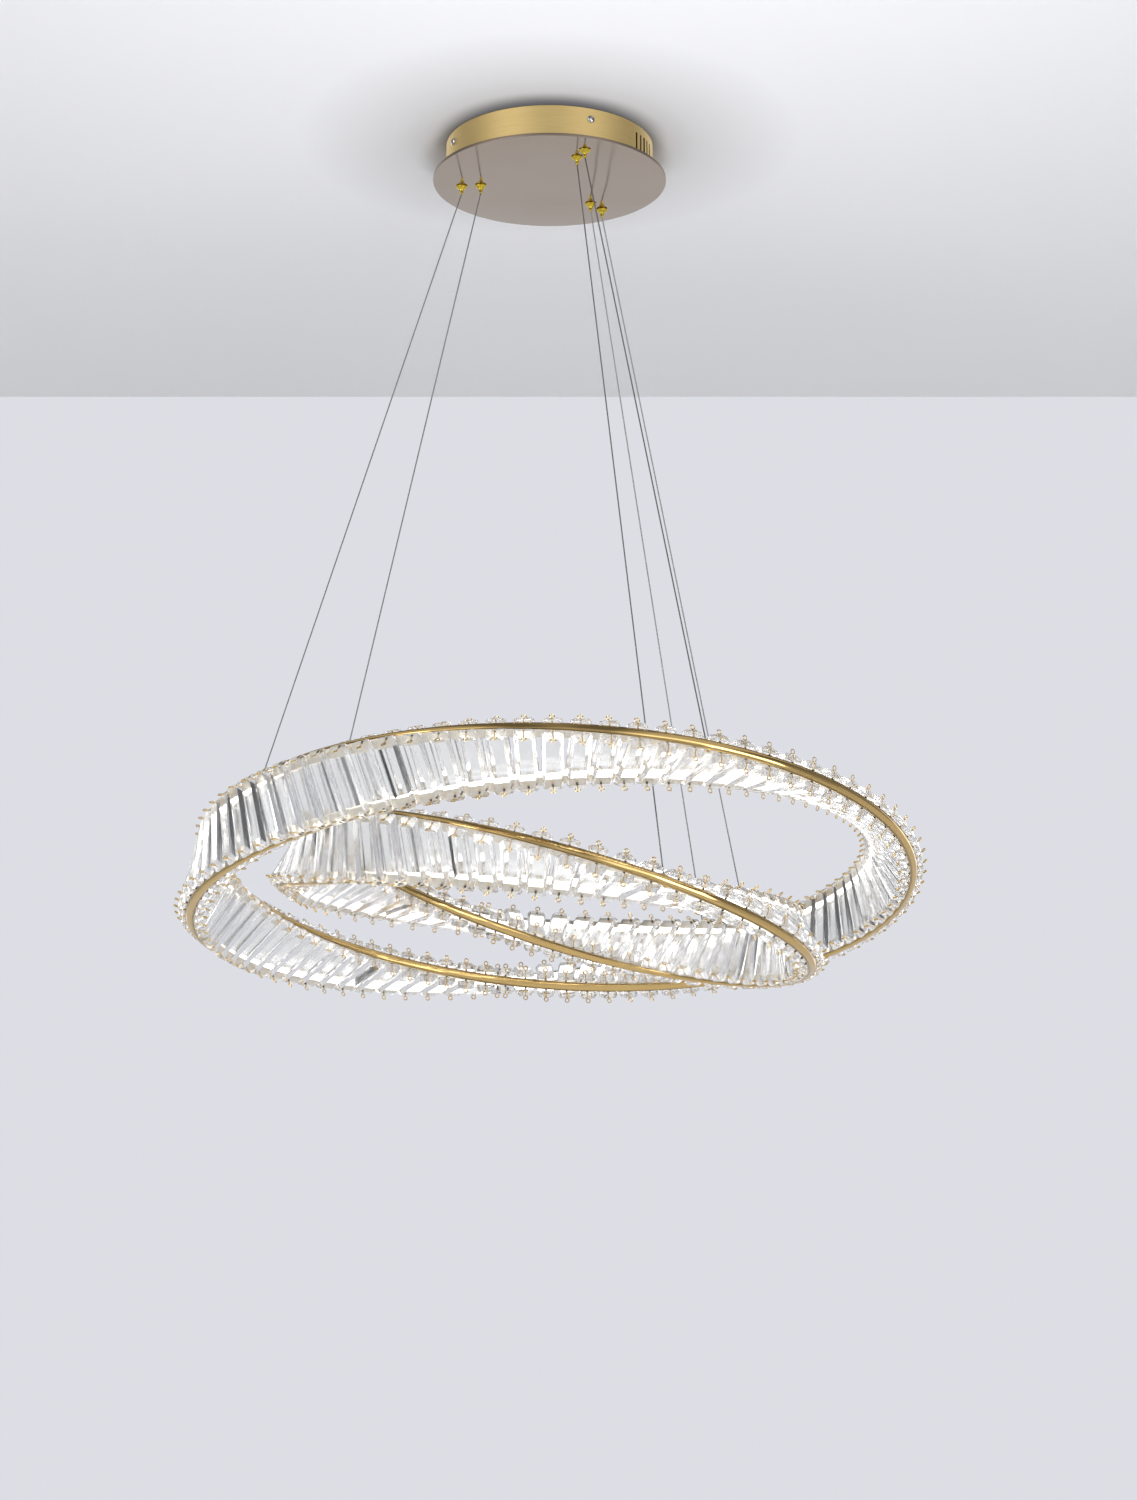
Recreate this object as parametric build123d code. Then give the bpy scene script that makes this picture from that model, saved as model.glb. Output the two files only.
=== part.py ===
"""Pendant light with two twisted crystal rings on a round ceiling canopy.

Units are millimetres and +Z is up.  The origin is the middle of the ceiling
bracket, on the ceiling plane, so everything hangs at negative Z.

Each ring is a ribbon that makes one full twist on its way round: two channel
rails carry a light strip each and are joined by struts, and cut crystal bars
lie across the rails on both faces of the ribbon.
"""

import os
from dataclasses import dataclass
from math import cos, degrees, pi, radians, sin, sqrt

from build123d import *

# Canopy: wall, mirror plate and ceiling bracket
WALL_D = 222.0
WALL_T = 1.5
PLATE_D = 250.0
PLATE_T = 3.0
PLATE_EDGE = 0.8
CANOPY_H = 40.0
BRACKET_T = 1.5
HUB_D = 70.0
ARM_W = 24.0
EAR_H = 20.0
EAR_GAP = 0.3
BOLT_PCD = 120.0
BOLT_D = 5.5
CABLE_HOLE_D = 20.0

# Canopy fixings and vents
SIDE_SCREWS = 4
SIDE_SCREW_AZIMUTH = -60.0
SIDE_SCREW_DROP = 12.0
SCREW_D = 4.0
SCREW_REACH = 9.0
SCREW_HEAD_D = 8.0
SCREW_HEAD_T = 2.4
SCREW_SLOT_W = 1.0
SCREW_SLOT_DEPTH = 1.0
TABS = 3
TAB_W = 24.0
TAB_REACH = 14.0
STUD_D = 4.0
STUD_H = 8.0
STUD_NUT_D = 7.6
STUD_NUT_H = 3.2
VENT_AZIMUTHS = (-18.0, 162.0)
VENT_COUNT = 5
VENT_W = 3.0
VENT_H = 20.0
VENT_PITCH = 8.5

# Electrical parts inside the canopy
DRIVER_L = 104.0
DRIVER_W = 36.0
DRIVER_H = 22.0
DRIVER_GAP = 20.0
DRIVER_SHIFT = 10.0
DRIVER_EDGE = 2.0
DRIVER_LUG_L = 8.0
DRIVER_LUG_W = 14.0
DRIVER_LUG_T = 2.5
DRIVER_LUG_HOLE_D = 4.0
BLOCK_L = 24.0
BLOCK_W = 16.0
BLOCK_H = 15.0
BLOCK_SHIFT = 27.0
BLOCK_WAYS = 3
BLOCK_WAY_D = 4.0

# Wire grippers with sprung release sleeves
GRIP_AZIMUTHS = {"left": 180.0, "front": 300.0, "back": 60.0}
GRIP_INSET = 14.0
GRIP_SPACING = 20.8
GRIP_FLANGE_D = 12.5
GRIP_FLANGE_T = 0.8
GRIP_CONE_D = 9.6
GRIP_NECK_D = 5.6
GRIP_H = 5.5
GRIP_LIP = 2.5
GRIP_STUD_D = 8.0
GRIP_STUD_H = 11.0
GRIP_NUT_D = 11.5
GRIP_NUT_H = 4.0
SLEEVE_D = 3.4
SLEEVE_HEAD_D = 5.0
SLEEVE_HEAD_H = 2.5
SLEEVE_SHOWN = 3.5
SLEEVE_TRAVEL = 2.0
SLEEVE_SPARE = 0.5
WIRE_HOLE_D = 2.0
WIRE_D = 1.4

# Hanging rings, measured at the middle of the ribbon
BIG_RADIUS = 352.0
RING_SPACING = 94.0
HANG_DEPTH = 801.5
RING_STEP_DOWN = 25.5

# Ring ribbon: rails, light strips, struts and anchors
TWIST_PHASE = -56.6
RAIL_REACH = 37.0
RAIL_W = 10.0
RAIL_DEPTH = 12.0
RAIL_WEB_T = 2.5
RAIL_FLANGE_T = 1.2
CROWN_DROP = 1.5
CROWN_FLAT = 5.0
STRIP_W = 7.0
STRIP_T = 8.0
STRIP_LIFT = 0.2
STRUT_T = 2.0
STRUTS = 3
ANCHOR_D = 3.4
ANCHOR_UP = 8.0
ANCHOR_DOWN = 6.5
ANCHOR_CHAMFER = 0.4
ANCHOR_INSET = 5.5

# Cut crystal bars
CRYSTAL_L = 73.0
CRYSTAL_W = 20.0
CRYSTAL_T = 8.0
CRYSTAL_GIRDLE = 3.5
CRYSTAL_SIDE_BEVEL = 2.8
CRYSTAL_END_BEVEL = 5.0
CRYSTAL_SPACE = 1.0

# Clearances
HOLE_CLEARANCE = 0.4
SLIDE_CLEARANCE = 0.05
SEAT_CLEARANCE = 0.4
CRYSTAL_GAP = 0.5
WIRE_END_GAP = 0.3


PLATE_TOP = PLATE_T - CANOPY_H
PLATE_BOTTOM = -CANOPY_H
WALL_R = WALL_D / 2
EAR_R = sqrt((WALL_R - WALL_T - EAR_GAP) ** 2 - (ARM_W / 2) ** 2)
STUD_R = WALL_R - TAB_REACH * 0.6
SLEEVE_END = PLATE_BOTTOM - GRIP_H - SLEEVE_SHOWN
ANCHOR_RAILS = {"left": 1, "front": 1, "back": -1}
JUNCTION = GRIP_AZIMUTHS["back"]
BIG_GRIP_R = WALL_R - WALL_T - GRIP_INSET
SMALL_RADIUS = BIG_RADIUS - RING_SPACING
SMALL_DROP = HANG_DEPTH + RING_STEP_DOWN


@dataclass
class Ring:
    """One hanging ring: its core circle, its facets, how it hangs and where its wires start."""

    name: str
    radius: float
    steps: int
    first_strut: int
    drop: float
    tilt_x: float
    tilt_y: float
    grip_radius: float

    @property
    def pose(self):
        """Where the ring's own frame lies: turned about X, then Y, then lowered."""
        return Pos(0, 0, -self.drop) * Rot(0, self.tilt_y, 0) * Rot(self.tilt_x, 0, 0)

    @property
    def facet_radius(self):
        """Core radius at the middle of a flat facet."""
        return self.radius * cos(radians(180.0 / self.steps))

    def core_radius(self, angle):
        """Core radius on the flat facets at an angle."""
        step = 360.0 / self.steps
        away = (angle - JUNCTION) % step - step / 2
        return self.facet_radius / cos(radians(away))

    @property
    def crystals(self):
        """As many crystals as fit side by side at their inner ends, shared evenly by the struts."""
        inner_round = 2 * pi * (self.radius - CRYSTAL_L / 2)
        group = 2 * STRUTS
        return group * int(inner_round / (CRYSTAL_W + CRYSTAL_SPACE) / group)

    @property
    def pitch(self):
        """Degrees from one crystal to the next."""
        return 360.0 / self.crystals


RINGS = (
    Ring("big", BIG_RADIUS, 60, 18, HANG_DEPTH, -7.5, -3.0, BIG_GRIP_R),
    Ring("small", SMALL_RADIUS, 66, 14, SMALL_DROP, 1.9, 9.8, BIG_GRIP_R - GRIP_SPACING),
)


def polar(radius, azimuth, z=0.0):
    """Place at a radius and an azimuth, turned to face outwards."""
    return Rot(0, 0, azimuth) * Pos(radius, 0, z)


def cylinder(diameter, low, high):
    """Upright cylinder between two heights."""
    return Pos(0, 0, low) * Cylinder(diameter / 2, high - low, align=(Align.CENTER, Align.CENTER, Align.MIN))


def box(length, width, low, high):
    """Upright block between two heights."""
    return Pos(0, 0, low) * Box(length, width, high - low, align=(Align.CENTER, Align.CENTER, Align.MIN))


def radial_cylinder(diameter, inner, outer, azimuth, z):
    """Cylinder that points outwards from one radius to another."""
    start = polar(inner, azimuth, z) * Rot(0, 90, 0)
    return start * cylinder(diameter, 0, outer - inner)


def side_screw_azimuths():
    return [SIDE_SCREW_AZIMUTH + 360.0 / SIDE_SCREWS * index for index in range(SIDE_SCREWS)]


def tab_azimuths():
    return [360.0 / TABS * index for index in range(TABS)]


def ceiling_bracket():
    """Flat cross with four ears turned down, screwed to the ceiling."""
    body = cylinder(HUB_D, -BRACKET_T, 0)
    for azimuth in side_screw_azimuths():
        body += polar(EAR_R / 2, azimuth) * box(EAR_R, ARM_W, -BRACKET_T, 0)
        body += polar(EAR_R - BRACKET_T / 2, azimuth) * box(BRACKET_T, ARM_W, -EAR_H, 0)
    body -= cylinder(CABLE_HOLE_D, -BRACKET_T, 0)
    for azimuth in side_screw_azimuths():
        body -= polar(BOLT_PCD / 2, azimuth) * cylinder(BOLT_D, -BRACKET_T, 0)
        ear_hole = SCREW_D + 2 * SLIDE_CLEARANCE
        body -= radial_cylinder(ear_hole, EAR_R - 2 * BRACKET_T, EAR_R + BRACKET_T, azimuth, -SIDE_SCREW_DROP)
    return body


def canopy_wall():
    """Rolled wall with vent slots and three tabs turned in for the plate."""
    body = cylinder(WALL_D, PLATE_TOP, 0) - cylinder(WALL_D - 2 * WALL_T, PLATE_TOP, 0)
    tab_middle = WALL_R - WALL_T / 2 - TAB_REACH / 2
    for azimuth in tab_azimuths():
        tab = polar(tab_middle, azimuth) * box(TAB_REACH, TAB_W, PLATE_TOP, PLATE_TOP + WALL_T)
        body += tab
    for azimuth in tab_azimuths():
        body -= polar(STUD_R, azimuth) * cylinder(STUD_D + HOLE_CLEARANCE, PLATE_TOP, PLATE_TOP + WALL_T)
    for azimuth in side_screw_azimuths():
        hole = SCREW_D + HOLE_CLEARANCE
        body -= radial_cylinder(hole, WALL_R - 2 * WALL_T, WALL_R + WALL_T, azimuth, -SIDE_SCREW_DROP)
    vent_step = degrees(VENT_PITCH / WALL_R)
    vent_middle = PLATE_TOP / 2
    for group in VENT_AZIMUTHS:
        for index in range(VENT_COUNT):
            azimuth = group + vent_step * (index - (VENT_COUNT - 1) / 2)
            slot = box(4 * WALL_T, VENT_W, vent_middle - VENT_H / 2, vent_middle + VENT_H / 2)
            body -= polar(WALL_R, azimuth) * slot
    return body


def canopy_plate():
    """Mirror disc with three weld studs and a hole for each gripper."""
    body = cylinder(PLATE_D, PLATE_BOTTOM, PLATE_TOP)
    rim = body.edges().filter_by(GeomType.CIRCLE)
    body = chamfer(rim, PLATE_EDGE)
    for azimuth in tab_azimuths():
        body += polar(STUD_R, azimuth) * cylinder(STUD_D, PLATE_TOP, PLATE_TOP + STUD_H)
    for ring in RINGS:
        for azimuth in GRIP_AZIMUTHS.values():
            hole = cylinder(GRIP_STUD_D + HOLE_CLEARANCE, PLATE_BOTTOM, PLATE_TOP)
            body -= polar(ring.grip_radius, azimuth) * hole
    return body


def hexagon_nut(width, bore, low, height):
    """Six-sided nut between two heights; width is corner to corner."""
    sketch = RegularPolygon(width / 2, 6) - Circle(bore / 2)
    return Pos(0, 0, low) * extrude(sketch, height)


def hexagon_bar(width, low, high):
    """Six-sided bar between two heights; width is corner to corner."""
    return Pos(0, 0, low) * extrude(RegularPolygon(width / 2, 6), high - low)


def plate_nuts():
    low = PLATE_TOP + WALL_T
    nut = hexagon_nut(STUD_NUT_D, STUD_D + 2 * SLIDE_CLEARANCE, low, STUD_NUT_H)
    return Compound(children=[polar(STUD_R, azimuth) * nut for azimuth in tab_azimuths()])


def side_screws():
    """Slotted pan head screws through the wall into the bracket's ears."""
    screw = cylinder(SCREW_D, -SCREW_REACH, 0) + cylinder(SCREW_HEAD_D, 0, SCREW_HEAD_T)
    slot = box(2 * SCREW_HEAD_D, SCREW_SLOT_W, SCREW_HEAD_T - SCREW_SLOT_DEPTH, SCREW_HEAD_T)
    screw -= slot
    seat = polar(WALL_R + SLIDE_CLEARANCE, 0, -SIDE_SCREW_DROP) * Rot(0, 90, 0)
    return Compound(children=[Rot(0, 0, azimuth) * seat * screw for azimuth in side_screw_azimuths()])


def led_driver(side):
    """Potted driver with a screw lug at each end, seated on the plate."""
    middle = Pos(DRIVER_SHIFT, side * (DRIVER_GAP + DRIVER_W) / 2, 0)
    case = box(DRIVER_L, DRIVER_W, PLATE_TOP, PLATE_TOP + DRIVER_H)
    case = fillet(case.edges().filter_by(Axis.Z), DRIVER_EDGE)
    lug_low, lug_high = PLATE_TOP, PLATE_TOP + DRIVER_LUG_T
    for end in (-1, 1):
        place = Pos(end * (DRIVER_L + DRIVER_LUG_L) / 2, 0, 0)
        lug = box(DRIVER_LUG_L, DRIVER_LUG_W, lug_low, lug_high) - cylinder(DRIVER_LUG_HOLE_D, lug_low, lug_high)
        case += place * lug
    return middle * case


def terminal_block():
    """Screw terminal block for the supply, under the bracket's hub."""
    top = -BRACKET_T
    body = Pos(BLOCK_SHIFT, 0, 0) * box(BLOCK_L, BLOCK_W, top - BLOCK_H, top)
    way_pitch = BLOCK_L / BLOCK_WAYS
    for index in range(BLOCK_WAYS):
        x = BLOCK_SHIFT + way_pitch * (index - (BLOCK_WAYS - 1) / 2)
        way = Pos(x, 0, top - BLOCK_H / 2) * Rot(90, 0, 0) * Cylinder(BLOCK_WAY_D / 2, BLOCK_W)
        body -= way
    return body


def gripper_body():
    """Flanged wire gripper: threaded stud above the plate, stepped bore below."""
    flange = PLATE_BOTTOM
    neck = PLATE_BOTTOM - GRIP_H
    lip = neck + GRIP_LIP
    roof = lip + SLEEVE_HEAD_H + SLEEVE_TRAVEL + SLEEVE_SPARE
    stud_top = PLATE_TOP + GRIP_STUD_H
    rim = flange - GRIP_FLANGE_T
    cone = Cone(GRIP_NECK_D / 2, GRIP_CONE_D / 2, rim - neck, align=(Align.CENTER, Align.CENTER, Align.MIN))
    body = Pos(0, 0, neck) * cone + cylinder(GRIP_FLANGE_D, rim, flange)
    body += cylinder(GRIP_STUD_D, flange, stud_top)
    body -= cylinder(SLEEVE_D + 2 * SLIDE_CLEARANCE, neck, lip)
    body -= cylinder(SLEEVE_HEAD_D + 2 * SLIDE_CLEARANCE, lip, roof)
    body -= cylinder(WIRE_HOLE_D, roof, stud_top)
    return body


def release_sleeve():
    """Sleeve that is pushed up into the gripper to free the wire."""
    lip = PLATE_BOTTOM - GRIP_H + GRIP_LIP
    body = cylinder(SLEEVE_D, SLEEVE_END, lip) + cylinder(SLEEVE_HEAD_D, lip, lip + SLEEVE_HEAD_H)
    return body - cylinder(WIRE_HOLE_D, SLEEVE_END, lip + SLEEVE_HEAD_H)


def gripper_nuts():
    bore = GRIP_STUD_D + 2 * SLIDE_CLEARANCE
    nut = hexagon_nut(GRIP_NUT_D, bore, PLATE_TOP, GRIP_NUT_H)
    places = [polar(ring.grip_radius, azimuth) for ring in RINGS for azimuth in GRIP_AZIMUTHS.values()]
    return Compound(children=[place * nut for place in places])


def ribbon_plane(radius, angle):
    """Cross-section plane of the ribbon: X runs across it, Y is its face normal."""
    turn = radians(angle)
    lean = radians(TWIST_PHASE - angle)
    outwards = Vector(cos(turn), sin(turn), 0)
    across = outwards * cos(lean) + Vector(0, 0, sin(lean))
    along = Vector(-sin(turn), cos(turn), 0)
    return Plane(origin=outwards * radius, x_dir=across, z_dir=along)


def ribbon_solid(ring, outline):
    """Closed band that carries one outline round the twisted ring in flat facets."""
    step = 360.0 / ring.steps
    loops = []
    for index in range(ring.steps):
        plane = ribbon_plane(ring.radius, JUNCTION + step * index)
        loops.append([plane.from_local_coords(Vector(x, y, 0)) for x, y in outline])
    facets = []
    for near, far in zip(loops, loops[1:] + loops[:1]):
        for corner in range(len(outline)):
            before = corner - 1
            if sum(outline[corner]) > sum(outline[before]):
                cut = (near[before], near[corner], far[corner]), (near[before], far[corner], far[before])
            else:
                cut = (near[before], near[corner], far[before]), (near[corner], far[corner], far[before])
            facets += [Face(Wire.make_polygon(triangle)) for triangle in cut]
    return ring.pose * Solid(Shell(facets))


def rail(ring, side):
    """Channel rail whose mouth faces the ribbon's middle, with a crowned back."""
    crown = RAIL_REACH
    shoulder = RAIL_REACH - CROWN_DROP
    floor = RAIL_REACH - RAIL_WEB_T
    mouth = RAIL_REACH - RAIL_DEPTH
    outer = RAIL_W / 2
    inner = RAIL_W / 2 - RAIL_FLANGE_T
    half = [(mouth, inner), (mouth, outer), (shoulder, outer), (crown, CROWN_FLAT / 2)]
    mirrored = [(x, -y) for x, y in reversed(half)]
    outline = [(floor, inner)] + half + mirrored + [(floor, -inner)]
    body = ribbon_solid(ring, [(side * x, y) for x, y in outline])
    for position, rail_side in ANCHOR_RAILS.items():
        if rail_side == side:
            body -= anchor_line(ring, position) * hexagon_bar(ANCHOR_D + HOLE_CLEARANCE, -RAIL_DEPTH, RAIL_DEPTH)
    return body


def light_strip(ring, side):
    """Light strip under its opal diffuser, which fills a rail's channel."""
    back = RAIL_REACH - RAIL_WEB_T - STRIP_LIFT
    front = back - STRIP_T
    half = STRIP_W / 2
    outline = [(back, half), (front, half), (front, -half), (back, -half)]
    body = ribbon_solid(ring, [(side * x, y) for x, y in outline])
    for position, rail_side in ANCHOR_RAILS.items():
        if rail_side == side:
            hole = ANCHOR_D + 2 * HOLE_CLEARANCE
            body -= anchor_line(ring, position) * hexagon_bar(hole, -RAIL_DEPTH, RAIL_DEPTH)
    return body


def struts(ring):
    """Thin bars that hold the two rails apart, in gaps between crystals."""
    reach = RAIL_REACH - RAIL_WEB_T - STRIP_LIFT - STRIP_T - SEAT_CLEARANCE
    depth = RAIL_W - 2 * RAIL_FLANGE_T - 2 * SEAT_CLEARANCE
    bar = Box(2 * reach, depth, STRUT_T)
    bars = []
    for index in range(ring.first_strut, ring.crystals, ring.crystals // STRUTS):
        angle = JUNCTION + ring.pitch * index
        plane = ribbon_plane(ring.core_radius(angle), angle)
        bars.append(ring.pose * plane.location * bar)
    return Compound(children=bars)


def bevelled_outline(length, bevel):
    """Side view of a crystal: flat back, upright girdle, then bevels to the table."""
    half = length / 2
    table = half - bevel
    corners = [(-half, 0), (half, 0), (half, CRYSTAL_GIRDLE), (table, CRYSTAL_T), (-table, CRYSTAL_T)]
    return Polygon(*corners, (-half, CRYSTAL_GIRDLE), align=None)


def crystal_bar():
    """Baguette cut: the solid that two bevelled side views have in common."""
    long_view = Plane.XZ * bevelled_outline(CRYSTAL_L, CRYSTAL_END_BEVEL)
    end_view = Plane.YZ * bevelled_outline(CRYSTAL_W, CRYSTAL_SIDE_BEVEL)
    along = extrude(long_view, CRYSTAL_W, both=True)
    across = extrude(end_view, CRYSTAL_L, both=True)
    return along & across


def crystal_row(ring, face):
    """One flat-backed crystal per pitch, raised to clear the twisting rails."""
    bar = crystal_bar()
    lift = RAIL_W / 2 + RAIL_REACH * CRYSTAL_W / 2 / ring.radius + CRYSTAL_GAP
    crystals = []
    for index in range(ring.crystals):
        plane = ribbon_plane(ring.facet_radius, JUNCTION + ring.pitch * (index + 0.5))
        on_face = Pos(0, face * lift, 0) * Rot(-90 * face, 0, 0)
        crystals.append(ring.pose * plane.location * on_face * bar)
    return Compound(children=crystals)


def wire_top(ring, position):
    """Middle of the sleeve's lower end, where the wire comes out."""
    azimuth = radians(GRIP_AZIMUTHS[position])
    return Vector(ring.grip_radius * cos(azimuth), ring.grip_radius * sin(azimuth), SLEEVE_END)


def anchor_line(ring, position):
    """Place in a rail whose Z points up along the wire that is fixed there."""
    plane = ribbon_plane(ring.radius, GRIP_AZIMUTHS[position])
    inset = ANCHOR_RAILS[position] * (RAIL_REACH - ANCHOR_INSET)
    point = (ring.pose * Pos(plane.from_local_coords(Vector(inset, 0, 0)))).position
    along = wire_top(ring, position) - point
    return Plane(origin=point, z_dir=along).location


def wire_anchors(ring):
    """Six-sided end barrels that hold the wires in the rails."""
    barrel = hexagon_bar(ANCHOR_D, -ANCHOR_DOWN, ANCHOR_UP)
    ends = barrel.faces().filter_by(Axis.Z).edges()
    barrel = chamfer(ends, ANCHOR_CHAMFER)
    return Compound(children=[anchor_line(ring, position) * barrel for position in ANCHOR_RAILS])


def wire(ring, position):
    """Taut wire from the sleeve's end to its barrel, cut level at both ends."""
    top = wire_top(ring, position)
    line = anchor_line(ring, position)
    low = (line * Pos(0, 0, ANCHOR_UP + WIRE_END_GAP)).position
    run = top - low
    print(f"wire {ring.name} {position}: straight run {run.length:.1f} mm")
    return extrude(Pos(low) * Circle(WIRE_D / 2), amount=run.length, dir=run.normalized())


def build():
    """Every node of the light by name."""
    nodes = {
        "ceiling_bracket": ceiling_bracket(),
        "canopy_wall": canopy_wall(),
        "canopy_plate": canopy_plate(),
        "plate_nuts": plate_nuts(),
        "side_screws": side_screws(),
        "terminal_block": terminal_block(),
        "gripper_nuts": gripper_nuts(),
    }
    for ring, driver_side in zip(RINGS, (-1, 1)):
        nodes[f"{ring.name}_led_driver"] = led_driver(driver_side)
        for position, azimuth in GRIP_AZIMUTHS.items():
            place = polar(ring.grip_radius, azimuth)
            nodes[f"{ring.name}_{position}_gripper"] = place * gripper_body()
            nodes[f"{ring.name}_{position}_sleeve"] = place * release_sleeve()
            nodes[f"{ring.name}_{position}_wire"] = wire(ring, position)
        for side, side_name in ((1, "a"), (-1, "b")):
            nodes[f"{ring.name}_rail_{side_name}"] = rail(ring, side)
            nodes[f"{ring.name}_light_strip_{side_name}"] = light_strip(ring, side)
            nodes[f"{ring.name}_crystal_row_{side_name}"] = crystal_row(ring, side)
        nodes[f"{ring.name}_struts"] = struts(ring)
        nodes[f"{ring.name}_wire_anchors"] = wire_anchors(ring)
    return nodes


os.makedirs("parts", exist_ok=True)
for name, shape in build().items():
    export_step(shape, os.path.join("parts", f"{name}.step"))
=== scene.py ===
import bpy
import numpy as np
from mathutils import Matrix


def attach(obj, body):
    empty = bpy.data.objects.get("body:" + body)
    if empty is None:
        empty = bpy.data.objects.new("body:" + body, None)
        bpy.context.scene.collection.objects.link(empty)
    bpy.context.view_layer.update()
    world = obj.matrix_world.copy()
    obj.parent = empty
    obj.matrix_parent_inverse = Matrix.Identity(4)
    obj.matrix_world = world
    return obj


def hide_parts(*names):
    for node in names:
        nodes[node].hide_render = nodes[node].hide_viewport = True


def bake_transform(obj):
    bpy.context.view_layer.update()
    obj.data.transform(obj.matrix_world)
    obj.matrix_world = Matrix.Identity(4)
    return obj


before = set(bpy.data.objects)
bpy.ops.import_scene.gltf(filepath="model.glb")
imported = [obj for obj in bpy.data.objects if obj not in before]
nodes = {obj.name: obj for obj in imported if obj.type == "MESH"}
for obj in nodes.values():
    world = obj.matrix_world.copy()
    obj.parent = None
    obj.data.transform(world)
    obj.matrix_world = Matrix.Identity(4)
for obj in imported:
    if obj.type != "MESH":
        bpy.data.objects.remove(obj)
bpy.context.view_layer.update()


# Parts inside the canopy.  A zinc-plated steel bracket carries the weight on four
# ceiling screws, and two potted drivers and a terminal block feed the light strips.
def new_material(name):
    """A new material, with its node tree and its Principled shader."""
    material = bpy.data.materials.new(name)
    material.use_nodes = True
    tree = material.node_tree
    shader = tree.nodes["Principled BSDF"]
    return material, tree, shader


def set_sockets(shader, **values):
    """Constant values go straight on the shader's own sockets; underscores are spaces."""
    for name, value in values.items():
        shader.inputs[name.replace("_", " ")].default_value = value


def mottle_group():
    """Noise on Object coordinates, stretched by Grain: a broad 0-1 mask, and a noise 9 times finer."""
    group = bpy.data.node_groups.new("finish_mottle", "ShaderNodeTree")
    face = group.interface
    face.new_socket("Scale", in_out="INPUT", socket_type="NodeSocketFloat")
    face.new_socket("Grain", in_out="INPUT", socket_type="NodeSocketVector")
    face.new_socket("Mask", in_out="OUTPUT", socket_type="NodeSocketFloat")
    face.new_socket("Fine", in_out="OUTPUT", socket_type="NodeSocketFloat")
    enter = group.nodes.new("NodeGroupInput")
    leave = group.nodes.new("NodeGroupOutput")
    place = group.nodes.new("ShaderNodeTexCoord")
    stretch = group.nodes.new("ShaderNodeVectorMath")
    stretch.operation = "MULTIPLY"
    broad = group.nodes.new("ShaderNodeTexNoise")
    broad.inputs["Detail"].default_value = 4.0
    fine = group.nodes.new("ShaderNodeTexNoise")
    fine.inputs["Detail"].default_value = 2.0
    finer = group.nodes.new("ShaderNodeMath")
    finer.operation = "MULTIPLY"
    finer.inputs[1].default_value = 9.0
    ramp = group.nodes.new("ShaderNodeMapRange")
    ramp.inputs["From Min"].default_value = 0.3
    ramp.inputs["From Max"].default_value = 0.7
    link = group.links.new
    link(place.outputs["Object"], stretch.inputs[0])
    link(enter.outputs["Grain"], stretch.inputs[1])
    link(stretch.outputs[0], broad.inputs["Vector"])
    link(stretch.outputs[0], fine.inputs["Vector"])
    link(enter.outputs["Scale"], broad.inputs["Scale"])
    link(enter.outputs["Scale"], finer.inputs[0])
    link(finer.outputs[0], fine.inputs["Scale"])
    link(broad.outputs["Fac"], ramp.inputs["Value"])
    link(ramp.outputs["Result"], leave.inputs["Mask"])
    link(fine.outputs["Fac"], leave.inputs["Fine"])
    return group


mottle = mottle_group()


def finish_with_mottle(tree, shader, scale, grain, colours, roughness, bump):
    """Mottle drives colour between two tones, roughness between two values, and a bump."""
    node = tree.nodes.new("ShaderNodeGroup")
    node.node_tree = mottle
    node.inputs["Scale"].default_value = scale
    node.inputs["Grain"].default_value = grain
    blend = tree.nodes.new("ShaderNodeMix")
    blend.data_type = "RGBA"
    blend.inputs[6].default_value = (*colours[0], 1.0)
    blend.inputs[7].default_value = (*colours[1], 1.0)
    rough = tree.nodes.new("ShaderNodeMapRange")
    rough.inputs["To Min"].default_value = roughness[0]
    rough.inputs["To Max"].default_value = roughness[1]
    relief = tree.nodes.new("ShaderNodeBump")
    relief.inputs["Strength"].default_value = bump[0]
    relief.inputs["Distance"].default_value = bump[1]
    link = tree.links.new
    link(node.outputs["Mask"], blend.inputs[0])
    link(node.outputs["Fine"], rough.inputs["Value"])
    link(node.outputs["Fine"], relief.inputs["Height"])
    link(blend.outputs[2], shader.inputs["Base Color"])
    link(rough.outputs["Result"], shader.inputs["Roughness"])
    link(relief.outputs["Normal"], shader.inputs["Normal"])


zinc, tree, shader = new_material("zinc_plate")
set_sockets(shader, Metallic=1.0)
finish_with_mottle(
    tree, shader, 60.0, (1, 1, 1),
    colours=((0.50, 0.51, 0.52), (0.66, 0.67, 0.67)),
    roughness=(0.25, 0.45), bump=(0.15, 0.0004),
)
potted_case, tree, shader = new_material("potted_case")
set_sockets(shader, Specular_IOR_Level=0.4)
finish_with_mottle(
    tree, shader, 180.0, (1, 1, 1),
    colours=((0.80, 0.80, 0.78), (0.88, 0.88, 0.86)),
    roughness=(0.45, 0.6), bump=(0.2, 0.0003),
)
terminal_plastic, tree, shader = new_material("terminal_plastic")
finish_with_mottle(
    tree, shader, 240.0, (1, 1, 1),
    colours=((0.78, 0.75, 0.66), (0.86, 0.84, 0.76)),
    roughness=(0.4, 0.55), bump=(0.15, 0.0003),
)


def dress(material, *names):
    """A CAD node that is right as it is keeps its mesh and gets this material."""
    for name in names:
        nodes[name].data.materials.clear()
        nodes[name].data.materials.append(material)


dress(zinc, "ceiling_bracket", "plate_nuts", "gripper_nuts")
dress(potted_case, "big_led_driver", "small_led_driver")
dress(terminal_plastic, "terminal_block")


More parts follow.
